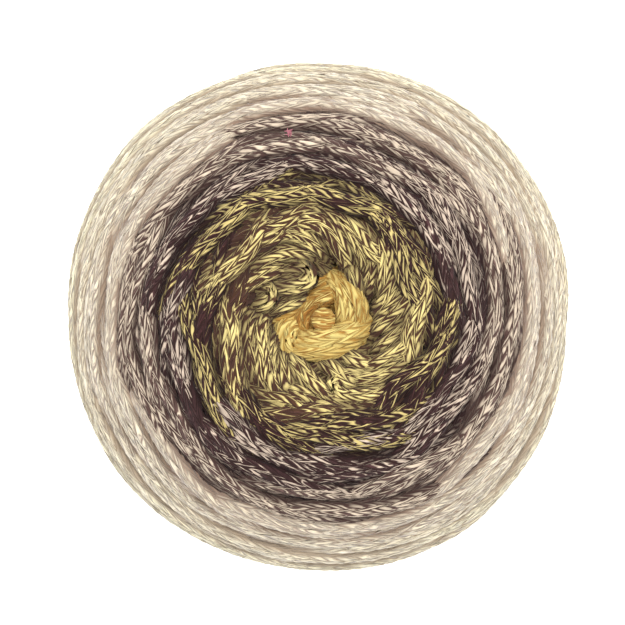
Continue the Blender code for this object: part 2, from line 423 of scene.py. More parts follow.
def chain_mesh(name, runs, wide=CORD_WIDE, tall=CORD_TALL):
    """One closed knitted tube for each run of the cord, with the map that counts its legs."""
    points, shares, sides, quads, quad_maps, quad_places, fans, fan_maps = ([] for _ in range(8))
    made, courses, length_made = 0, 0, 0.0
    for run in runs:
        rows_a_leg = len(LEG_SHAPE[run["detail"]])
        step = LEG_PITCH / rows_a_leg
        count = max(round(run["along"][-1] / step), FEWEST_ROWS)
        point, share, open_side = tube_points(run, count, courses + CHANCE_START, wide, tall)
        ends = np.stack([point[0].mean(axis=0), point[-1].mean(axis=0)])
        points += [point.reshape(-1, 3), ends]
        shares += [share.ravel(), share[[0, -1], 0]]
        sides += [open_side.ravel(), [1.0, 1.0]]
        corners, u, v = tube_faces(run["detail"], count)
        flat = v * LEG_PITCH + length_made
        face_start = np.broadcast_to(flat.min(axis=1, keepdims=True), flat.shape)
        quads.append(made + corners)
        quad_maps.append(np.stack([u, v + courses], -1).reshape(-1, 2))
        quad_places.append(np.stack([flat, u, face_start], -1).reshape(-1, 3))
        around = point.shape[1]
        closing = tube_ends(around, count)
        fans.append(made + closing)
        fan_maps.append(np.tile([[0.5, courses + 0.5]], (closing.size, 1)))
        made += (count + 1) * around + len(ends)
        courses += count // rows_a_leg + COURSE_GAP
        length_made += count * step
    mesh = bpy.data.meshes.new(name)
    faces = np.concatenate(quads).tolist() + np.concatenate(fans).tolist()
    mesh.from_pydata(np.concatenate(points).tolist(), [], faces)
    mesh.shade_smooth()
    stitch = np.concatenate(quad_maps + fan_maps)
    places = np.concatenate(quad_places)
    laid_flat = flat_map(places, length_made, len(stitch) - len(places))
    for map_name, spots in [("stitch", stitch), ("OFBake", laid_flat)]:
        mesh.uv_layers.new(name=map_name).data.foreach_set("uv", spots.astype(np.float32).ravel())
    mesh.uv_layers.active = mesh.uv_layers["stitch"]
    mesh.uv_layers["stitch"].active_render = True
    store(mesh, "light_share", np.concatenate(shares))
    store(mesh, "openness_to_light", np.concatenate(sides))
    turns = bpy.data.objects.new(name, mesh)
    bpy.context.collection.objects.link(turns)
    return turns


RUN_STEP = 0.001
FEWEST_RUN_STEPS = 8


def run_along(points, out, radius, share, roll, detail="fine"):
    """A run of the cord through the points, at even steps, with the ways that its sides face."""
    points = np.asarray(points, float)
    steps = np.linalg.norm(np.diff(points, axis=0), axis=1)
    reached = np.concatenate([[0], np.cumsum(steps)])
    along = np.linspace(0, reached[-1], max(int(reached[-1] / RUN_STEP), FEWEST_RUN_STEPS))

    def evenly(values):
        values = np.broadcast_to(np.asarray(values, float), (len(points),) + np.shape(values)[1:])
        return np.array([np.interp(along, reached, axis) for axis in np.atleast_2d(values.T)]).T

    middle = evenly(points)
    ahead = np.gradient(middle, axis=0)
    ahead /= np.linalg.norm(ahead, axis=1)[:, None]
    facing = evenly(out)
    facing -= ahead * (facing * ahead).sum(axis=1)[:, None]
    facing /= np.linalg.norm(facing, axis=1)[:, None]
    return {
        "along": along,
        "middle": middle,
        "out": facing,
        "side": np.cross(ahead, facing),
        "radius": evenly(radius)[:, 0],
        "share": evenly(share)[:, 0],
        "roll": evenly(roll)[:, 0],
        "detail": detail,
    }


# The loose end: the inner end of the cord, which comes up out of the heart and stops in a cut tip.
# It stands where its solid does, and its last part leans a little, to show its side.
END_DIAMETER = 0.0056
END_ROUTE = [
    (0.0018, 0.0000, 0.0430),
    (0.0018, 0.0000, 0.0500),
    (0.0016, 0.0001, 0.0580),
    (0.0013, 0.0002, 0.0650),
    (0.0011, 0.0001, 0.0705),
    (0.0011, -0.0002, 0.0745),
    (0.0012, -0.0006, 0.0772),
]
# The golden cotton: its dark thread colour is painted shade brown, and its crease and gap colours are
# painted shade too. The loose end has a little under half its light share, so much of it shows that
# painted shade.
GOLD_LIGHT = (0.78, 0.63, 0.225)
GOLD_SHADE_BROWN = (0.36, 0.165, 0.035)
GOLD_CREASE = (0.58, 0.38, 0.105)
GOLD_GAP_SHADE = (0.50, 0.30, 0.070)
END_LIGHT = 0.42
END_FACES = (0.3, -1.0, 0.2)
golden = cord_cotton("golden_cotton", GOLD_LIGHT, GOLD_SHADE_BROWN, GOLD_CREASE, GOLD_GAP_SHADE, 0.40, 1.12)
end_run = run_along(END_ROUTE, [END_FACES] * len(END_ROUTE), END_DIAMETER / 2, END_LIGHT, 0.0)
loose_end = chain_mesh("loose_end_of_cord", [end_run], wide=1.0, tall=1.0)
loose_end.data.materials.append(golden)
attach(loose_end, "root")
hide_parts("loose_end")

# Its cut tip, rounded over: the ends of the threads lie across it from left to right.
TIP_RADIUS = END_DIAMETER * 0.52
TIP_HEIGHT = 0.0019
TIP_SUNK = 0.0003
TIP_LEG_WIDTH = 0.0009
TIP_FIRST_LEG = (0.37, 60)
tip_x, tip_y, tip_z = END_ROUTE[-1]
bpy.ops.mesh.primitive_uv_sphere_add(segments=32, ring_count=16, radius=1.0, location=(0, 0, 0))
tip = bpy.context.object
tip.name = "tip_of_loose_end"
bpy.ops.object.shade_smooth()
tip.scale = (TIP_RADIUS, TIP_RADIUS, TIP_HEIGHT)
tip.location = (tip_x, tip_y, tip_z - TIP_SUNK)
bpy.ops.object.transform_apply(location=True, rotation=True, scale=True)
lying = tip.data.uv_layers.new(name="stitch")
for loop in tip.data.loops:
    point = tip.data.vertices[loop.vertex_index].co
    u = point.x / LEG_LEAN + TIP_FIRST_LEG[0]
    v = point.y / TIP_LEG_WIDTH + TIP_FIRST_LEG[1]
    lying.uv[loop.index].vector = (u, v)
lying.active_render = True
# The tip takes the loose end's light share, so it too is partly painted shade brown.
store(tip.data, "light_share", np.full(len(tip.data.vertices), END_LIGHT))
store(tip.data, "openness_to_light", np.ones(len(tip.data.vertices)))
tip.data.materials.append(golden)
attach(tip, "root")
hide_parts("loose_end")

# The heart: the first turns that were wound, plumper than the rest because nothing presses on them.
# The golden ones close round the loose end, and two folds of the next colour lie over their left.
# "light" is the share of light thread that shows. On the golden turns the rest is painted shade brown,
# so the low ring round the loose end and the turns that lie under others, with little light, are
# painted in shade.
HEART_TURNS = [
    {"piece": "golden", "light": 0.15, "diameter": 0.0058, "middle": [
        (0.0075, -0.0010, 0.0700), (0.0058, -0.0049, 0.0704), (0.0018, -0.0065, 0.0706),
        (-0.0022, -0.0048, 0.0706), (-0.0038, -0.0008, 0.0706), (-0.0022, 0.0032, 0.0706),
        (0.0018, 0.0048, 0.0706), (0.0058, 0.0032, 0.0704), (0.0075, -0.0006, 0.0698),
    ]},
    {"piece": "golden", "light": 0.80, "diameter": 0.0050, "middle": [
        (0.0036, 0.0106, 0.0696), (0.0059, 0.0087, 0.0734), (0.0078, 0.0062, 0.0753),
        (0.0091, 0.0032, 0.0758), (0.0095, 0.0000, 0.0750), (0.0092, -0.0034, 0.0712),
    ]},
    {"piece": "golden", "light": 0.80, "diameter": 0.0052, "middle": [
        (0.0004, 0.0110, 0.0700), (0.0036, 0.0090, 0.0728), (0.0060, 0.0064, 0.0743),
        (0.0069, 0.0032, 0.0749), (0.0069, 0.0001, 0.0743), (0.0060, -0.0028, 0.0722),
        (0.0046, -0.0053, 0.0695),
    ]},
    {"piece": "golden", "light": 0.02, "diameter": 0.0050, "middle": [
        (0.0070, 0.0064, 0.0700), (0.0042, 0.0062, 0.0726), (0.0011, 0.0053, 0.0737),
        (-0.0018, 0.0039, 0.0735), (-0.0036, 0.0017, 0.0730), (-0.0040, -0.0009, 0.0728),
        (-0.0030, -0.0036, 0.0722), (-0.0008, -0.0055, 0.0702),
    ]},
    {"piece": "golden", "light": 0.20, "diameter": 0.0050, "middle": [
        (0.0080, 0.0096, 0.0690), (0.0046, 0.0092, 0.0716), (0.0010, 0.0086, 0.0725),
        (-0.0024, 0.0068, 0.0718), (-0.0052, 0.0036, 0.0700),
    ]},
    {"piece": "golden", "light": 0.88, "diameter": 0.0056, "middle": [
        (0.0141, 0.0005, 0.0700), (0.0115, -0.0016, 0.0733), (0.0079, -0.0035, 0.0754),
        (0.0040, -0.0050, 0.0762), (-0.0001, -0.0060, 0.0757), (-0.0037, -0.0060, 0.0740),
        (-0.0069, -0.0050, 0.0708),
    ]},
    {"piece": "golden", "light": 1.00, "diameter": 0.0058, "middle": [
        (-0.0034, -0.0002, 0.0695), (-0.0064, -0.0018, 0.0726), (-0.0080, -0.0041, 0.0745),
        (-0.0078, -0.0067, 0.0744), (-0.0056, -0.0090, 0.0728), (-0.0022, -0.0102, 0.0695),
    ]},
    {"piece": "golden", "light": 0.98, "diameter": 0.0048, "middle": [
        (-0.0092, -0.0074, 0.0705), (-0.0052, -0.0079, 0.0745), (-0.0011, -0.0080, 0.0760),
        (0.0033, -0.0075, 0.0761), (0.0074, -0.0061, 0.0750), (0.0112, -0.0040, 0.0710),
    ]},
    {"piece": "golden", "light": 0.20, "diameter": 0.0050, "middle": [
        (-0.0132, -0.0026, 0.0700), (-0.0100, -0.0004, 0.0722), (-0.0066, 0.0018, 0.0730),
        (-0.0037, 0.0039, 0.0725), (-0.0008, 0.0059, 0.0702),
    ]},
    {"piece": "yellow_marl", "light": 0.98, "diameter": 0.0046, "middle": [
        (-0.0161, 0.0056, 0.0720), (-0.0122, 0.0068, 0.0752), (-0.0083, 0.0075, 0.0768),
        (-0.0047, 0.0080, 0.0776), (-0.0023, 0.0094, 0.0778), (-0.0027, 0.0114, 0.0774),
        (-0.0054, 0.0119, 0.0770), (-0.0083, 0.0112, 0.0764), (-0.0117, 0.0097, 0.0750),
        (-0.0156, 0.0083, 0.0715),
    ]},
    {"piece": "yellow_marl", "light": 0.98, "diameter": 0.0044, "middle": [
        (-0.0195, 0.0013, 0.0720), (-0.0165, 0.0025, 0.0752), (-0.0133, 0.0034, 0.0766),
        (-0.0112, 0.0051, 0.0770), (-0.0114, 0.0071, 0.0768), (-0.0141, 0.0071, 0.0762),
        (-0.0170, 0.0056, 0.0750), (-0.0200, 0.0035, 0.0715),
    ]},
    {"piece": "yellow_marl", "light": 0.98, "diameter": 0.0044, "middle": [
        (-0.0161, -0.0002, 0.0705), (-0.0127, 0.0015, 0.0738), (-0.0093, 0.0030, 0.0750),
        (-0.0059, 0.0044, 0.0748), (-0.0027, 0.0056, 0.0730), (-0.0001, 0.0064, 0.0700),
    ]},
    {"piece": "yellow_marl", "light": 0.98, "diameter": 0.0046, "middle": [
        (0.0072, 0.0154, 0.0720), (0.0081, 0.0129, 0.0745), (0.0091, 0.0102, 0.0755),
        (0.0098, 0.0073, 0.0750), (0.0101, 0.0044, 0.0728), (0.0097, 0.0018, 0.0700),
    ]},
]
CURVE_PARTS = 40
CURVE_STEP = 0.0008
STRAIGHT_UP = [0.0, 0.0, 1.0]
HEART_ROLL = 0.3
TURNS_SEED = 11


def smooth_curve(points, step):
    """Even steps along a smooth curve through the points."""
    points = np.array(points, float)
    path = np.vstack([2 * points[0] - points[1], points, 2 * points[-1] - points[-2]])
    fine = []
    for i in range(1, len(path) - 2):
        a, b, c, d = path[i - 1 : i + 3]
        for t in np.linspace(0, 1, CURVE_PARTS, endpoint=False):
            bend = 2 * a - 5 * b + 4 * c - d
            twist = 3 * b - a - 3 * c + d
            fine.append(b + 0.5 * t * ((c - a) + t * (bend + t * twist)))
    fine.append(path[-2])
    fine = np.array(fine)
    reached = np.concatenate([[0], np.cumsum(np.linalg.norm(np.diff(fine, axis=0), axis=1))])
    wanted = np.arange(0, reached[-1], step)
    return np.column_stack([np.interp(wanted, reached, axis) for axis in fine.T])


random = np.random.default_rng(TURNS_SEED)
runs_by_piece = {"golden": [], "yellow_marl": []}
for row in HEART_TURNS:
    middle = smooth_curve(row["middle"], CURVE_STEP)
    up = np.tile(STRAIGHT_UP, (len(middle), 1))
    roll = random.uniform(-HEART_ROLL, HEART_ROLL)
    run = run_along(middle, up, row["diameter"] / 2, row["light"], roll)
    runs_by_piece[row["piece"]].append(run)

# The form that the turns are wound to: half of the ball's section, from the edge of the heart, over
# the crest and down the side, and in under the foot. The outline is a little out of round.
SECTION = [
    {"radius": 0.0042, "height": 0.0745},
    {"radius": 0.0085, "height": 0.0755},
    {"radius": 0.0130, "height": 0.0780},
    {"radius": 0.0190, "height": 0.0812},
    {"radius": 0.0260, "height": 0.0822},
    {"radius": 0.0350, "height": 0.0797},
    {"radius": 0.0458, "height": 0.0731},
    {"radius": 0.0552, "height": 0.0635},
    {"radius": 0.0620, "height": 0.0520},
    {"radius": 0.0647, "height": 0.0396},
    {"radius": 0.0628, "height": 0.0272},
    {"radius": 0.0569, "height": 0.0154},
    {"radius": 0.0482, "height": 0.0062},
    {"radius": 0.0398, "height": 0.0012},
    {"radius": 0.0330, "height": 0.0000},
    {"radius": 0.0180, "height": 0.0000},
    {"radius": 0.0045, "height": 0.0014},
]
OUTLINE = [
    {"turn": 0, "reach": 0.988},
    {"turn": 45, "reach": 1.010},
    {"turn": 90, "reach": 0.996},
    {"turn": 135, "reach": 1.012},
    {"turn": 180, "reach": 0.986},
    {"turn": 235, "reach": 1.004},
    {"turn": 270, "reach": 0.996},
    {"turn": 305, "reach": 1.018},
]
HEART_SHIFT = 0.0018
GRID_STEP = 0.0004
AXIS_GAP = 0.0004
section = smooth_curve([(row["radius"], row["height"]) for row in SECTION], GRID_STEP)
section_along = np.gradient(section, axis=0)
section_along /= np.linalg.norm(section_along, axis=1)[:, None]
section_out = np.column_stack([-section_along[:, 1], section_along[:, 0]])
section_place = np.arange(len(section)) * GRID_STEP
girth_row = np.argmax(section[:, 0])
girth_place = section_place[girth_row]


def outline_reach(turn):
    """How far the outline reaches in this direction, smooth all the way round."""
    turns = np.radians([row["turn"] for row in OUTLINE])
    reaches = np.array([row["reach"] for row in OUTLINE])
    turns = np.concatenate([[turns[-1] - 2 * math.pi], turns, [turns[0] + 2 * math.pi]])
    reaches = np.concatenate([[reaches[-1]], reaches, [reaches[0]]])
    return np.interp(turn % (2 * math.pi), turns, reaches)


def on_ball(place, turn, level):
    """The point at this place on the section and turn round the ball, and the way out of it there."""
    radius = np.interp(place, section_place, section[:, 0])
    height = np.interp(place, section_place, section[:, 1])
    out_r = np.interp(place, section_place, section_out[:, 0])
    out_z = np.interp(place, section_place, section_out[:, 1])
    share = np.clip(radius / ball_high[0], 0, 1)
    r = np.maximum(radius * (1 + (outline_reach(turn) - 1) * share) + out_r * level, AXIS_GAP)
    z = height + out_z * level
    shift = HEART_SHIFT * (1 - share) * (place < girth_place)
    point = np.stack([r * np.cos(turn) + shift, r * np.sin(turn), z], -1)
    out = np.stack([out_r * np.cos(turn), out_r * np.sin(turn), out_z], -1)
    return point, out


# The two threads of the marl don't run evenly: in patches as long as a finger is wide the dark one
# comes up more. "less" is how much less light thread shows there, and below zero it is more.
# "turn" and "half_turn" are degrees round the heart.
THREAD_PATCHES = [
    {"turn": 10, "from_heart": 0.0405, "half_turn": 16, "less": 0.40},
    {"turn": 32, "from_heart": 0.0270, "half_turn": 17, "less": 0.70},
    {"turn": 55, "from_heart": 0.0250, "half_turn": 10, "less": 0.50},
    {"turn": 82, "from_heart": 0.0258, "half_turn": 11, "less": 0.70},
    {"turn": 85, "from_heart": 0.0425, "half_turn": 16, "less": 0.45},
    {"turn": 142, "from_heart": 0.0275, "half_turn": 11, "less": 0.65},
    {"turn": 158, "from_heart": 0.0318, "half_turn": 10, "less": 0.50},
    {"turn": 172, "from_heart": 0.0408, "half_turn": 14, "less": 0.45},
    {"turn": 186, "from_heart": 0.0285, "half_turn": 8, "less": 0.75},
    {"turn": 203, "from_heart": 0.0265, "half_turn": 11, "less": 0.60},
    {"turn": 217, "from_heart": 0.0380, "half_turn": 14, "less": 0.45},
    {"turn": 252, "from_heart": 0.0240, "half_turn": 15, "less": 0.85},
    {"turn": 270, "from_heart": 0.0367, "half_turn": 20, "less": 0.55},
    {"turn": 300, "from_heart": 0.0385, "half_turn": 13, "less": 0.35},
    {"turn": 312, "from_heart": 0.0262, "half_turn": 11, "less": 0.55},
    {"turn": 350, "from_heart": 0.0288, "half_turn": 14, "less": 0.40},
    {"turn": 45, "from_heart": 0.0112, "half_turn": 20, "less": 0.35},
    {"turn": 125, "from_heart": 0.0155, "half_turn": 16, "less": 0.30},
    {"turn": 165, "from_heart": 0.0150, "half_turn": 20, "less": -0.40},
    {"turn": 165, "from_heart": 0.0215, "half_turn": 24, "less": 0.65},
    {"turn": 225, "from_heart": 0.0210, "half_turn": 22, "less": 0.20},
    {"turn": 245, "from_heart": 0.0140, "half_turn": 24, "less": -0.30},
    {"turn": 332, "from_heart": 0.0155, "half_turn": 16, "less": -0.45},
    {"turn": 330, "from_heart": 0.0225, "half_turn": 22, "less": -0.30},
    {"turn": 15, "from_heart": 0.0210, "half_turn": 24, "less": -0.25},
    {"turn": 325, "from_heart": 0.0290, "half_turn": 24, "less": -0.35},
    {"turn": 0, "from_heart": 0.0275, "half_turn": 16, "less": -0.25},
    {"turn": 62, "from_heart": 0.0290, "half_turn": 20, "less": -0.35},
    {"turn": 140, "from_heart": 0.0275, "half_turn": 22, "less": 0.25},
    {"turn": 180, "from_heart": 0.0275, "half_turn": 14, "less": -0.20},
    {"turn": 272, "from_heart": 0.0275, "half_turn": 16, "less": 0.30},
]
PATCH_HALF_WIDTH = 0.0030


def darker_by(turn, from_heart):
    """How much less light thread shows at this turn round the heart and distance from it."""
    less = np.zeros(len(turn))
    for row in THREAD_PATCHES:
        round_by = (np.degrees(turn) - row["turn"] + 180) % 360 - 180
        out_by = (from_heart - row["from_heart"]) / PATCH_HALF_WIDTH
        less += row["less"] * np.exp(-((round_by / row["half_turn"]) ** 2) - out_by**2)
    return less


# The first marl turns round the heart, which show their whole width. Each comes in from under the
# turns outside it and dives under the next one in. Places across are in millimetres from the middle,
# and "lift" is in metres from the form's own surface. Further from the heart less light thread shows.
RING_TURNS = [
    {"diameter": 0.0046, "lift": 0.0000, "across": [
        (-22.1, 4.1), (-19.2, 7.0), (-15.9, 9.2), (-12.1, 11.1), (-8.5, 12.4), (-4.9, 12.6),
    ]},
    {"diameter": 0.0046, "lift": -0.0016, "across": [
        (-21.1, 11.3), (-17.3, 13.2), (-13.0, 14.7), (-8.3, 15.4), (-3.5, 14.8), (0.4, 12.9),
        (3.8, 10.0),
    ]},
    {"diameter": 0.0049, "lift": 0.0002, "across": [
        (-17.8, 15.6), (-14.9, 18.0), (-11.1, 19.9), (-6.8, 20.6), (-3.0, 19.5), (0.1, 17.2),
        (2.8, 14.3),
    ]},
    {"diameter": 0.0052, "lift": 0.0007, "across": [
        (-8.2, 21.4), (-4.4, 23.0), (-0.1, 22.8), (3.0, 20.4), (5.2, 17.1), (7.1, 14.1),
        (8.1, 11.7),
    ]},
    {"diameter": 0.0048, "lift": 0.0003, "across": [
        (-0.1, 25.4), (4.0, 23.8), (7.6, 20.9), (10.0, 17.6), (11.5, 14.0), (12.0, 10.2),
    ]},
    {"diameter": 0.0046, "lift": -0.0003, "across": [
        (8.0, 24.2), (10.9, 21.8), (12.8, 18.5), (13.8, 15.0), (13.6, 11.4), (12.5, 7.6),
        (10.6, 2.7),
    ]},
    {"diameter": 0.0049, "lift": 0.0008, "across": [
        (14.2, 21.8), (15.9, 18.5), (16.7, 15.2), (16.7, 11.8), (16.3, 8.3), (16.8, 4.4),
    ]},
    {"diameter": 0.0047, "lift": 0.0004, "across": [
        (18.1, 19.9), (19.5, 16.6), (20.0, 13.2), (19.1, 9.7), (17.5, 6.3), (15.4, 2.7),
        (13.0, -0.2),
    ]},
    {"diameter": 0.0046, "lift": 0.0002, "across": [
        (22.4, 14.7), (22.1, 11.3), (20.7, 7.7), (18.4, 4.4), (15.6, 1.3), (12.8, -1.9),
    ]},
    {"diameter": 0.0048, "lift": 0.0005, "across": [
        (24.8, 10.8), (23.8, 7.0), (21.5, 3.7), (18.7, 0.6), (15.4, -2.6), (12.3, -5.7),
    ]},
    {"diameter": 0.0046, "lift": 0.0001, "across": [
        (26.2, 5.1), (24.5, 1.0), (21.9, -2.3), (18.9, -5.0), (15.6, -7.6), (12.9, -10.8),
    ]},
    {"diameter": 0.0046, "lift": 0.0009, "across": [
        (25.3, -1.6), (23.1, -5.4), (20.0, -8.3), (16.5, -10.5), (12.4, -12.4), (8.6, -13.9),
    ]},
    {"diameter": 0.0046, "lift": 0.0006, "across": [
        (25.3, -6.9), (22.4, -10.4), (18.6, -12.8), (14.3, -14.6), (10.0, -15.3), (5.7, -14.6),
    ]},
    {"diameter": 0.0043, "lift": 0.0007, "across": [
        (23.3, -12.1), (20.0, -14.9), (16.2, -17.5), (11.9, -18.9), (7.6, -19.2), (4.4, -18.4),
        (3.4, -16.4), (5.0, -14.7), (8.6, -14.3), (12.0, -15.0), (15.4, -16.2),
    ]},
    {"diameter": 0.0047, "lift": 0.0000, "across": [
        (20.5, -16.9), (16.2, -19.5), (10.9, -21.0), (5.6, -20.5), (0.9, -18.7), (-3.0, -15.8),
        (-6.1, -12.5), (-8.1, -9.6),
    ]},
    {"diameter": 0.0045, "lift": 0.0012, "across": [
        (15.8, -12.2), (12.0, -11.7), (8.1, -10.3), (4.5, -8.7), (1.4, -6.7),
    ]},
    {"diameter": 0.0047, "lift": 0.0010, "across": [
        (10.5, -17.9), (6.7, -15.6), (3.5, -12.7), (0.4, -10.4), (-3.0, -8.4),
    ]},
    {"diameter": 0.0047, "lift": 0.0011, "across": [
        (4.7, -20.8), (0.9, -18.4), (-2.5, -15.3), (-4.9, -12.2), (-6.9, -9.4), (-7.8, -7.0),
    ]},
    {"diameter": 0.0046, "lift": 0.0002, "across": [
        (4.2, -22.6), (-0.1, -20.3), (-4.4, -18.4), (-8.2, -17.9), (-9.7, -19.8),
    ]},
    {"diameter": 0.0045, "lift": 0.0002, "across": [
        (-5.4, -19.3), (-7.5, -16.5), (-8.8, -13.2), (-9.5, -9.6), (-9.3, -6.7),
    ]},
    {"diameter": 0.0046, "lift": 0.0003, "across": [
        (-8.7, -20.2), (-10.9, -16.7), (-12.1, -12.9), (-12.4, -8.8), (-11.4, -5.0), (-9.8, -2.1),
    ]},
    {"diameter": 0.0047, "lift": 0.0006, "across": [
        (-12.5, -18.3), (-13.5, -14.1), (-13.5, -9.8), (-14.3, -5.9), (-14.3, -2.1), (-12.9, 1.5),
    ]},
    {"diameter": 0.0046, "lift": 0.0001, "across": [
        (-15.9, -16.9), (-16.4, -12.1), (-17.1, -8.3), (-17.6, -4.5), (-17.4, -0.6), (-15.5, 3.2),
    ]},
    {"diameter": 0.0045, "lift": 0.0004, "across": [
        (-20.2, -14.5), (-19.7, -10.2), (-20.2, -6.4), (-20.9, -2.5), (-20.2, 1.3), (-18.3, 4.6),
        (-15.5, 7.0),
    ]},
    {"diameter": 0.0046, "lift": 0.0000, "across": [
        (-23.5, -10.7), (-23.8, -6.4), (-24.0, -2.1), (-23.3, 2.0), (-21.6, 5.6), (-18.8, 8.5),
    ]},
    {"diameter": 0.0046, "lift": -0.0004, "across": [
        (-25.4, 2.2), (-25.0, 6.1), (-23.3, 9.9), (-20.4, 13.0), (-16.6, 15.1),
    ]},
    {"diameter": 0.0047, "lift": 0.0001, "across": [
        (-17.6, 24.3), (-12.5, 26.5), (-7.3, 27.5), (-2.0, 27.3), (2.8, 25.9), (7.1, 23.2),
    ]},
    {"diameter": 0.0046, "lift": -0.0004, "across": [
        (-27.5, 14.8), (-24.6, 18.5), (-20.8, 21.3), (-16.0, 23.5), (-11.0, 24.9), (-6.0, 25.6),
    ]},
    {"diameter": 0.0046, "lift": 0.0002, "across": [
        (21.4, -16.4), (16.8, -21.3), (11.0, -24.7), (5.2, -25.7), (-0.6, -24.7), (-5.9, -22.3),
    ]},
    {"diameter": 0.0046, "lift": -0.0002, "across": [
        (-2.0, -26.2), (-8.0, -25.0), (-14.4, -22.3), (-18.4, -18.4), (-20.8, -13.6), (-21.6, -8.8),
    ]},
    {"diameter": 0.0046, "lift": -0.0001, "across": [
        (-24.5, -14.4), (-26.9, -8.8), (-27.8, -3.2), (-27.3, 2.4), (-25.4, 7.2), (-22.0, 11.2),
    ]},
    {"diameter": 0.0046, "lift": -0.0006, "across": [
        (-5.0, -17.8), (-1.6, -14.0), (2.0, -11.2), (6.2, -9.8), (10.4, -9.3), (14.4, -8.4),
    ]},
    {"diameter": 0.0046, "lift": -0.0014, "across": [
        (-6.0, -20.5), (-2.0, -18.2), (1.6, -16.4), (5.2, -15.6), (9.4, -16.0),
    ]},
    {"diameter": 0.0048, "lift": -0.0002, "across": [
        (-19.6, 8.2), (-16.6, 12.0), (-12.6, 14.8), (-7.8, 16.0), (-3.0, 15.4), (1.6, 13.2),
    ]},
    {"diameter": 0.0046, "lift": -0.0012, "across": [
        (-9.5, 12.6), (-6.0, 13.6), (-2.0, 13.0), (1.5, 11.2), (4.6, 8.6),
    ]},
]
RING_DIVE = 0.0042
RING_DIVE_LENGTH = 0.0060
RING_DIVE_POWER = 1.7
RING_DEPTH = CORD_RADIUS * 1.05
RING_PATCHES = 0.18
PATCHES_A_TURN = 8
RING_ROLL = 0.4
MOST_LIGHT = 0.98
LIGHT_AT = [0.011, 0.016, 0.0215, 0.0265]
LIGHT_THERE = [0.98, 0.88, 0.74, 0.46]
top_half = section[:girth_row]
for row in RING_TURNS:
    middle = smooth_curve([(x / 1000, y / 1000, 0.0) for x, y in row["across"]], CURVE_STEP)
    from_heart = np.hypot(middle[:, 0] - HEART_SHIFT, middle[:, 1])
    height = np.interp(from_heart, top_half[:, 0], top_half[:, 1])
    number = np.arange(len(middle))
    to_end = np.minimum(number, len(middle) - 1 - number) * CURVE_STEP
    dive = RING_DIVE * np.clip(1 - to_end / RING_DIVE_LENGTH, 0, 1) ** RING_DIVE_POWER
    middle[:, 2] = height - RING_DEPTH + row["lift"] - dive
    light = random.normal(0, RING_PATCHES, PATCHES_A_TURN)
    light = np.interp(number, np.linspace(0, len(middle), PATCHES_A_TURN), light)
    light = np.minimum(light + np.interp(from_heart, LIGHT_AT, LIGHT_THERE), MOST_LIGHT)
    light = light - darker_by(np.arctan2(middle[:, 1], middle[:, 0] - HEART_SHIFT), from_heart)
    up = np.tile(STRAIGHT_UP, (len(middle), 1))
    roll = random.uniform(-RING_ROLL, RING_ROLL)
    runs_by_piece["yellow_marl"].append(run_along(middle, up, row["diameter"] / 2, light, roll))

# The winding. The cord swings between a turning place over the girth and one under it, and each
# swing takes a little over a turn, so the turning places step round. They also move from the heart
# and the foot towards the girth. Every stretch lies on whatever was wound before it: it comes in to
# its turning place on top, at a steady slant, and goes back out under the next ones. The outer end of
# the cord is tucked in under the turns beside it.
SWINGS = 170
SWING_TURNS = 1.236
STEPS_ROUND = 480
TURNING_PLACES = [
    {"when": 0.00, "upper": 0.0076, "lower": 0.1735, "sunk": 0.0042},
    {"when": 0.09, "upper": 0.0150, "lower": 0.1600, "sunk": 0.0036},
    {"when": 0.15, "upper": 0.0190, "lower": 0.1560, "sunk": 0.0000},
    {"when": 0.72, "upper": 0.0580, "lower": 0.1200, "sunk": 0.0000},
    {"when": 1.00, "upper": 0.0790, "lower": 0.0990, "sunk": 0.0000},
]
LAST_UPPER = TURNING_PLACES[-1]["upper"]
LAST_LOWER = TURNING_PLACES[-1]["lower"]
SLANT = 0.0120
TURNING_ROUNDNESS = 0.16
START_TURN = 0.6
REST_DEPTH = CORD_RADIUS * 0.80
SINK = 0.22
DEEPEST = 1.1 * CORD_DIAMETER
UNDER = 0.0010
UNDER_BY = 0.35
PLUNGE = 0.005
PLUNGE_FROM = 1.3
PLUNGE_OVER = 0.6
MOST_SINK = 0.15 * CORD_DIAMETER
MOST_LIFT = 0.12 * CORD_DIAMETER
SQUASH = 0.90
TUCK_STEPS = 26
TUCK_DEPTH = 0.009

# Nothing is wound quite evenly. A wander is how many steps it takes to change its way, and its reach.
# The first two change their way once a swing.
SWING_WANDER = 0.12
SLANT_WANDER = 0.06
PLACE_WANDERS = [(61, 0.0008), (170, 0.0008)]
THICKNESS_WANDER = (45, 0.035)
LEVEL_WANDER = (53, 0.00035)
SPARE_KNOTS = 4

# The record of what has been wound: one cell for each step round and along the section.
UNWOUND = -3.0 * CORD_DIAMETER
FOOTPRINT_CELLS = 9
LAID_AT_ONCE = STEPS_ROUND // 4
SMOOTHING_STEPS = 8
LEAST_STEP = 1e-5


def drift(count, every, reach):
    """Smooth random wander along the cord, by this reach, with a new way every so many steps."""
    knots = random.normal(0, reach, count // every + SPARE_KNOTS)
    x = np.arange(count) / every
    i = x.astype(int)
    t = (1 - np.cos((x - i) * math.pi)) / 2
    return knots[i] * (1 - t) + knots[i + 1] * t


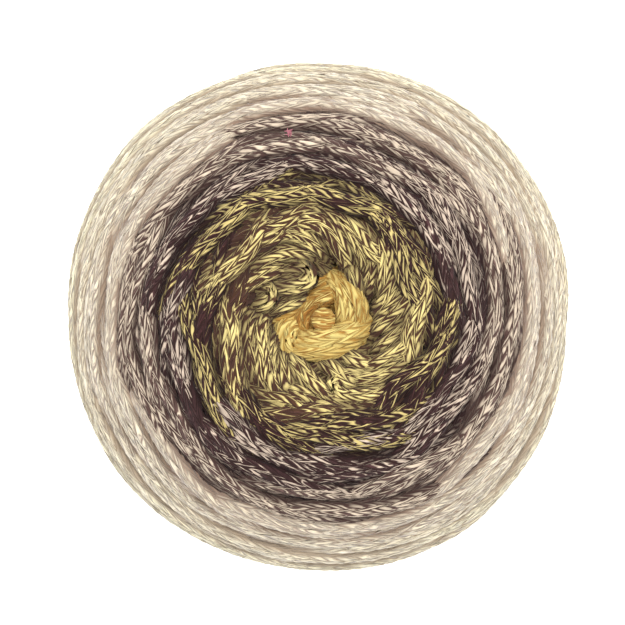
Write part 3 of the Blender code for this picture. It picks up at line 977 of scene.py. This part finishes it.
steps_in_all = int(SWINGS * SWING_TURNS * STEPS_ROUND)
step_number = np.arange(steps_in_all)
when = step_number / (steps_in_all - 1)
swing_steps = int(SWING_TURNS * STEPS_ROUND)
phase = 2 * math.pi * step_number / swing_steps + drift(steps_in_all, swing_steps, SWING_WANDER)
stages = [row["when"] for row in TURNING_PLACES]
upper_turning = np.interp(when, stages, [row["upper"] for row in TURNING_PLACES])
lower_turning = np.interp(when, stages, [row["lower"] for row in TURNING_PLACES])
half_swing = (lower_turning - upper_turning) / 2
to_upper = (phase + math.pi) % (2 * math.pi) - math.pi
over = np.abs(to_upper) < math.pi / 2
round_from = np.where(over, np.abs(to_upper), math.pi - np.abs(to_upper)) * SWING_TURNS
reach = np.sqrt(round_from**2 + TURNING_ROUNDNESS**2) - TURNING_ROUNDNESS
reach = np.minimum(SLANT * reach, half_swing) * (1 + drift(steps_in_all, swing_steps, SLANT_WANDER))
leaving = np.where(over, to_upper > 0, to_upper < 0)
place = np.where(over, upper_turning + reach, lower_turning - reach)
for wander in PLACE_WANDERS:
    place = place + drift(steps_in_all, *wander)
place = np.clip(place, GRID_STEP, section_place[-1] - GRID_STEP)
turn = -step_number * 2 * math.pi / STEPS_ROUND + START_TURN
radius = CORD_RADIUS * (1 + drift(steps_in_all, *THICKNESS_WANDER))
covered = np.where(
    over,
    np.minimum(place, LAST_UPPER) - upper_turning,
    lower_turning - np.maximum(place, LAST_LOWER),
)
near_middle = np.clip((round_from - PLUNGE_FROM) / PLUNGE_OVER, 0, 1)
wanted_level = -REST_DEPTH - np.clip(SINK * covered, 0, DEEPEST) - near_middle * PLUNGE
wanted_level = wanted_level - UNDER * leaving * np.clip(round_from / UNDER_BY, 0, 1)
sunk = np.interp(when, stages, [row["sunk"] for row in TURNING_PLACES])
wanted_level = wanted_level - sunk * over + drift(steps_in_all, *LEVEL_WANDER)
to_outer_end = steps_in_all - step_number
wanted_level = wanted_level - TUCK_DEPTH * np.clip(1 - to_outer_end / TUCK_STEPS, 0, 1) ** 2

surface = np.full((STEPS_ROUND, len(section)), UNWOUND)
level = np.zeros(steps_in_all)
footprint = np.arange(-FOOTPRINT_CELLS, FOOTPRINT_CELLS + 1)


def smoothed(values, sigma):
    """The values with every sudden change spread over this many steps each way."""
    kernel = np.exp(-0.5 * (np.arange(-3 * sigma, 3 * sigma + 1) / sigma) ** 2)
    padded = np.concatenate([np.full(3 * sigma, values[0]), values, np.full(3 * sigma, values[-1])])
    return np.convolve(padded, kernel / kernel.sum(), mode="valid")


def footing(numbers):
    """The grid cells under these steps of the cord, and how high its side stands over each."""
    radii = np.interp(place[numbers], section_place, section[:, 0])
    slope = np.gradient(place)[numbers] / np.maximum(radii * 2 * math.pi / STEPS_ROUND, LEAST_STEP)
    column = (-numbers) % STEPS_ROUND
    nearest = np.round(place[numbers] / GRID_STEP).astype(int)
    cells = nearest[:, None] + footprint[None, :]
    across = (cells * GRID_STEP - place[numbers, None]) / np.hypot(1, slope)[:, None]
    inside = (np.abs(across) < radius[numbers, None]) & (cells >= 0) & (cells < len(section))
    cells = np.clip(cells, 0, len(section) - 1)
    stands = np.sqrt(np.clip(radius[numbers, None] ** 2 - across**2, 0, None))
    return column[:, None], cells, stands, inside


for first in range(0, steps_in_all, LAID_AT_ONCE):
    numbers = np.arange(first, min(first + LAID_AT_ONCE, steps_in_all))
    column, cells, stands, inside = footing(numbers)
    resting = np.where(inside, surface[column, cells] + stands * SQUASH, -1.0).max(axis=1)
    wanted = wanted_level[numbers]
    level[numbers] = np.clip(resting, wanted - MOST_SINK, wanted + MOST_LIFT)
    back = max(0, first - 3 * SMOOTHING_STEPS)
    level[numbers] = smoothed(level[back : numbers[-1] + 1], SMOOTHING_STEPS)[first - back :]
    top = np.where(inside, level[numbers, None] + stands, -1.0)
    surface[column, cells] = np.maximum(surface[column, cells], top)

# What shows: every stretch whose top is the ball's surface or lies just under it, and a little more
# at each end, so that the cord goes on out of sight.
HIDDEN_BY = 0.0009
TAIL = 7
MOST_JUMP = 0.002
SHORTEST_STRETCH = 10
showing = np.zeros(steps_in_all, bool)
for first in range(0, steps_in_all, LAID_AT_ONCE):
    numbers = np.arange(first, min(first + LAID_AT_ONCE, steps_in_all))
    column, cells, stands, inside = footing(numbers)
    beneath = np.where(inside, surface[column, cells] - level[numbers, None] - stands, 1.0).min(axis=1)
    showing[numbers] = beneath < HIDDEN_BY
showing = np.convolve(showing, np.ones(2 * TAIL + 1), mode="same") > 0.5
showing &= np.abs(np.diff(place, append=place[-1])) < MOST_JUMP
edges = np.flatnonzero(np.diff(np.concatenate([[0], showing.astype(int), [0]])))
stretches = [(a, b) for a, b in zip(edges[::2], edges[1::2]) if b - a > SHORTEST_STRETCH]

# The stretches of colour, from the heart out, by how far from the heart the cord turned back. "share"
# is the share of light thread where the stretch starts and where it ends. The pale stretches have
# narrower creases and more fuzz. The crease colour is the painted shade in the creases between legs,
# and the gap colour the painted shade deep between two turns and on the cords' sides.
PALE_LOOK = {"crease_width": 0.45, "fuzz": 0.50}
COLOURS = [
    {
        "name": "yellow_marl",
        "until": 0.0195,
        "share": (1.00, 0.70),
        "light": (0.82, 0.68, 0.28),
        "dark": (0.075, 0.034, 0.026),
        "crease": (0.100, 0.046, 0.024),
        "gap_shade": (0.060, 0.029, 0.020),
        "look": {"widest": 0.84},
    },
    {
        "name": "charcoal_and_yellow",
        "until": 0.0275,
        "share": (0.47, 0.44),
        "light": (0.67, 0.54, 0.22),
        "dark": (0.050, 0.020, 0.020),
        "crease": (0.030, 0.012, 0.010),
        "gap_shade": (0.020, 0.008, 0.007),
        "look": {},
    },
    {
        "name": "charcoal_and_cream",
        "until": 0.0390,
        "share": (0.50, 0.60),
        "light": (0.63, 0.51, 0.41),
        "dark": (0.060, 0.028, 0.029),
        "crease": (0.035, 0.016, 0.014),
        "gap_shade": (0.022, 0.009, 0.009),
        "look": {},
    },
    {
        "name": "ash",
        "until": 0.0490,
        "share": (0.64, 0.96),
        "light": (0.66, 0.55, 0.43),
        "dark": (0.130, 0.078, 0.068),
        "crease": (0.095, 0.054, 0.045),
        "gap_shade": (0.060, 0.032, 0.028),
        "look": {},
    },
    {
        "name": "inner_cream",
        "until": 0.0555,
        "share": (0.86, 1.02),
        "light": (0.73, 0.64, 0.49),
        "dark": (0.52, 0.42, 0.33),
        "crease": (0.42, 0.32, 0.24),
        "gap_shade": (0.28, 0.18, 0.13),
        "look": PALE_LOOK,
    },
    {
        "name": "cream",
        "until": 0.0635,
        "share": (1.02, 1.05),
        "light": (0.78, 0.70, 0.535),
        "dark": (0.62, 0.52, 0.41),
        "crease": (0.32, 0.235, 0.17),
        "gap_shade": (0.34, 0.24, 0.17),
        "look": PALE_LOOK,
    },
    {
        "name": "outer_cream",
        "until": 0.0715,
        "share": (1.05, 1.05),
        "light": (0.81, 0.73, 0.55),
        "dark": (0.70, 0.61, 0.46),
        "crease": (0.34, 0.25, 0.17),
        "gap_shade": (0.44, 0.34, 0.24),
        "look": PALE_LOOK,
    },
    {
        "name": "last_cream",
        "until": 0.0900,
        "share": (1.05, 1.05),
        "light": (0.85, 0.79, 0.575),
        "dark": (0.73, 0.65, 0.48),
        "crease": (0.37, 0.28, 0.185),
        "gap_shade": (0.46, 0.36, 0.26),
        "look": PALE_LOOK,
    },
]
starts = [0.0] + [row["until"] + HAIR for row in COLOURS[:-1]]
bounds = np.column_stack([starts, [row["until"] for row in COLOURS]]).ravel()

# Left of the heart each colour reaches further out than right of it, and less so towards the girth.
COLOUR_REACH = [
    {"turn": 0, "further": 0.0},
    {"turn": 90, "further": 0.0},
    {"turn": 125, "further": 0.0055},
    {"turn": 165, "further": 0.0060},
    {"turn": 200, "further": 0.0035},
    {"turn": 250, "further": 0.0010},
    {"turn": 290, "further": 0.0},
]
FURTHER_UNTIL = 0.045
FURTHER_FADE = 0.015
reach_turns = np.radians([row["turn"] for row in COLOUR_REACH])
further = np.array([row["further"] for row in COLOUR_REACH])
further = np.interp(turn % (2 * math.pi), reach_turns, further)
near_heart = np.clip((FURTHER_UNTIL - upper_turning) / FURTHER_FADE, 0, 1)
colour_place = upper_turning - further * near_heart
share = np.interp(colour_place, bounds, np.array([row["share"] for row in COLOURS]).ravel())

# The threads come up by turns along the cord, in short and long patches that fade in the pale cotton.
SHORT_PATCHES = (13, 0.18)
LONG_PATCHES = (48, 1.6)
LONG_PATCH_REACH = 0.30
PATCHES_UNTIL = 0.058
PATCHES_FADE = 0.020
LEAST_PATCHES = 0.1
ROLL_WANDER = (90, 0.5)
patches = drift(steps_in_all, *SHORT_PATCHES)
patches = patches + LONG_PATCH_REACH * np.tanh(drift(steps_in_all, *LONG_PATCHES))
share = share + patches * np.clip((PATCHES_UNTIL - upper_turning) / PATCHES_FADE, LEAST_PATCHES, 1)
from_heart = np.interp(place, section_place, section[:, 0])
share = share - darker_by(turn, from_heart) * (place < girth_place)
roll = drift(steps_in_all, *ROLL_WANDER)

# Each stretch goes to the piece of its colour, with as fine a mesh as can be seen where it lies.
FINE_UNTIL = 0.030
MIDDLING_UNTIL = 0.098
SHORTEST_RUN = 2 * LEG_LEAN
for row in COLOURS:
    runs_by_piece.setdefault(row["name"], [])
for first, last in stretches:
    points, out = on_ball(place[first:last], turn[first:last], level[first:last])
    where = place[first:last].mean()
    detail = "fine" if where < FINE_UNTIL else "middling" if where < MIDDLING_UNTIL else "plain"
    run = run_along(points, out, radius[first:last], share[first:last], roll[first:last], detail)
    if run["along"][-1] < SHORTEST_RUN:
        continue
    for row in COLOURS:
        if colour_place[(first + last) // 2] < row["until"]:
            runs_by_piece[row["name"]].append(run)
            break


def points_of(obj):
    """The places of the object's points, one row for each."""
    places = np.empty(len(obj.data.vertices) * 3, np.float32)
    obj.data.vertices.foreach_get("co", places)
    return places.reshape(-1, 3)


cottons = {"golden": golden}
for row in COLOURS:
    threads = (row["light"], row["dark"], row["crease"], row["gap_shade"])
    cottons[row["name"]] = cord_cotton(row["name"] + "_cotton", *threads, **row["look"])
turned_pieces = []
for name, runs in runs_by_piece.items():
    turns = chain_mesh(name + "_turns", runs)
    turned_pieces.append(turns)
    places = points_of(turns)
    places[:, 2] = np.maximum(places[:, 2], 0.0)
    turns.data.vertices.foreach_set("co", places.ravel())
    turns.data.update()
    turns.data.materials.append(cottons[name])
    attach(turns, "root")
    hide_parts("ball")

# Painted shade: how open each spot of a turn is. The further it lies under the turns round it, the
# darker its cotton is painted, towards its gap colour, on top of the painted side shade. The loose
# turns at the heart are painted lighter.
GAP_REACH = 0.0022
GAP_DEPTH = 0.0021
OPEN_MARGIN = 1.08
LEAST_OPEN = 0.05
LEAST_OPEN_AT_HEART = {"golden_turns": 0.66, "yellow_marl_turns": 0.48}
PLACES_ROUND = 360
PLACE_STEP = 0.0008
LEAST_RING = 0.003
SECTION_CENTRE = (0.020, 0.040)
seen_from = np.arctan2(section[:, 1] - SECTION_CENTRE[1], section[:, 0] - SECTION_CENTRE[0])
found = {}
tops = np.full((PLACES_ROUND, int(section_place[-1] / PLACE_STEP) + 2), -1.0)
for obj in turned_pieces:
    x, y, z = points_of(obj).T.astype(float)
    share_out = np.clip(np.hypot(x, y) / ball_high[0], 0, 1)
    x = x - HEART_SHIFT * (1 - share_out) * (z > GIRTH_HEIGHT)
    spot_turn = np.arctan2(y, x)
    r = np.hypot(x, y) / (1 + (outline_reach(spot_turn) - 1) * share_out)
    seen = np.arctan2(z - SECTION_CENTRE[1], r - SECTION_CENTRE[0])
    spot_place = np.interp(-seen, -seen_from, section_place)
    stand_r = r - np.interp(spot_place, section_place, section[:, 0])
    stand_z = z - np.interp(spot_place, section_place, section[:, 1])
    stand = stand_r * np.interp(spot_place, section_place, section_out[:, 0])
    stand += stand_z * np.interp(spot_place, section_place, section_out[:, 1])
    column = np.round(spot_turn / (2 * math.pi) * PLACES_ROUND).astype(int) % PLACES_ROUND
    row_of = np.round(spot_place / PLACE_STEP).astype(int)
    np.maximum.at(tops, (column, row_of), stand)
    found[obj.name] = (column, row_of, stand)
rows_reach = round(GAP_REACH / PLACE_STEP)
envelope = tops.copy()
for shift in range(-rows_reach, rows_reach + 1):
    envelope = np.maximum(envelope, np.roll(tops, shift, axis=1))
for i in range(tops.shape[1]):
    at_radius = max(np.interp(i * PLACE_STEP, section_place, section[:, 0]), LEAST_RING)
    reach_round = math.ceil(GAP_REACH / (at_radius * 2 * math.pi / PLACES_ROUND))
    lifted = [np.roll(envelope[:, i], shift) for shift in range(-reach_round, reach_round + 1)]
    envelope[:, i] = np.mean(np.sort(lifted, axis=0)[len(lifted) // 2 :], axis=0)
for obj in turned_pieces:
    column, row_of, stand = found[obj.name]
    under = np.clip(envelope[column, row_of] - stand, 0, None)
    openness_to_light = obj.data.attributes["openness_to_light"].data
    open_side = np.empty(len(under), np.float32)
    openness_to_light.foreach_get("value", open_side)
    open_spot = open_side * np.clip(OPEN_MARGIN - under / GAP_DEPTH, LEAST_OPEN, 1)
    openness_to_light.foreach_set("value", np.maximum(open_spot, LEAST_OPEN_AT_HEART.get(obj.name, 0.0)))

# The turns inside, which show only as darkness between the outer ones: one closed form under them,
# painted near black as shade instead of in the colours of the cord it stands for.
INNER_ROUND = 96
INNER_EVERY = 6
INNER_DEPTH = 1.75 * CORD_DIAMETER
inner_turn = np.arange(INNER_ROUND) * 2 * math.pi / INNER_ROUND
depth = np.full(INNER_ROUND, -INNER_DEPTH)
rings = [on_ball(np.full(INNER_ROUND, at), inner_turn, depth)[0] for at in section_place[::INNER_EVERY]]
inner_faces = [list(range(INNER_ROUND))]
for i in range(len(rings) - 1):
    for j in range(INNER_ROUND):
        k = (j + 1) % INNER_ROUND
        here, below = i * INNER_ROUND, (i + 1) * INNER_ROUND
        inner_faces.append([here + j, below + j, below + k, here + k])
inner_faces.append([(len(rings) - 1) * INNER_ROUND + j for j in reversed(range(INNER_ROUND))])
inner_mesh = bpy.data.meshes.new("inner_turns")
inner_mesh.from_pydata(np.concatenate(rings).tolist(), [], inner_faces)
inner_mesh.shade_smooth()
inner = bpy.data.objects.new("inner_turns", inner_mesh)
bpy.context.collection.objects.link(inner)
# Painted shade: the form's colour is the shade deep between the outer turns.
shade = bpy.data.materials.new("inner_turns_shade")
shade.use_nodes = True
shade.node_tree.nodes["Principled BSDF"].inputs["Base Color"].default_value = (0.05, 0.03, 0.025, 1)
inner.data.materials.append(shade)
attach(inner, "root")
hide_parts("ball")

# A tuft of pink wool that has caught on the turns towards the ball's top: a few fine fibres, curled
# over one another and lying on whatever is uppermost there.
TUFT_AT = (-0.0071, 0.0447)
TUFT_REACH = 0.0011
TUFT_FIBRES = 9
FIBRE_RADIUS = 0.00011

# Each fibre is turned from the last one, bowed, longer or shorter, and in one of a few layers.
FIBRE_POINTS = 5
FIBRE_TURN = 2.4
SHORTER_BY = 0.4
BOW = 0.45 * TUFT_REACH
CURL = 1.3
LAYERS = 4
LAYER_RISE = 1.2
highest = 0.0
for obj in turned_pieces:
    spots = points_of(obj)
    near = np.hypot(spots[:, 0] - TUFT_AT[0], spots[:, 1] - TUFT_AT[1]) < TUFT_REACH / 2
    highest = max(highest, float(spots[near, 2].max(initial=0.0)))
bpy.ops.curve.primitive_nurbs_path_add(location=(0, 0, 0))
tuft = bpy.context.object
tuft.name = "pink_tuft"
tuft.data.splines.clear()
for number in range(TUFT_FIBRES):
    lies = number * FIBRE_TURN
    fibre = tuft.data.splines.new("NURBS")
    fibre.points.add(FIBRE_POINTS - 1)
    fibre.use_endpoint_u = True
    for part, point in enumerate(fibre.points):
        from_middle = part - FIBRE_POINTS // 2
        out = from_middle / 2 * TUFT_REACH * (1 - SHORTER_BY + SHORTER_BY * math.sin(number))
        bowed = BOW * math.cos(part * CURL + number)
        x = TUFT_AT[0] + out * math.cos(lies) - bowed * math.sin(lies)
        y = TUFT_AT[1] + out * math.sin(lies) + bowed * math.cos(lies)
        layer = LAYER_RISE * (number % LAYERS)
        point.co = (x, y, highest + FIBRE_RADIUS * (layer - abs(from_middle)), 1)
tuft.data.bevel_depth = FIBRE_RADIUS
tuft.data.bevel_resolution = 1
tuft.data.use_fill_caps = True
bpy.ops.object.convert(target="MESH")
pink = bpy.data.materials.new("pink_wool")
pink.use_nodes = True
wool = pink.node_tree.nodes["Principled BSDF"]
wool.inputs["Base Color"].default_value = (0.45, 0.15, 0.19, 1)
wool.inputs["Roughness"].default_value = 0.9
wool.inputs["Sheen Weight"].default_value = 0.3
tuft.data.materials.append(pink)
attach(tuft, "root")
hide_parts("ball")
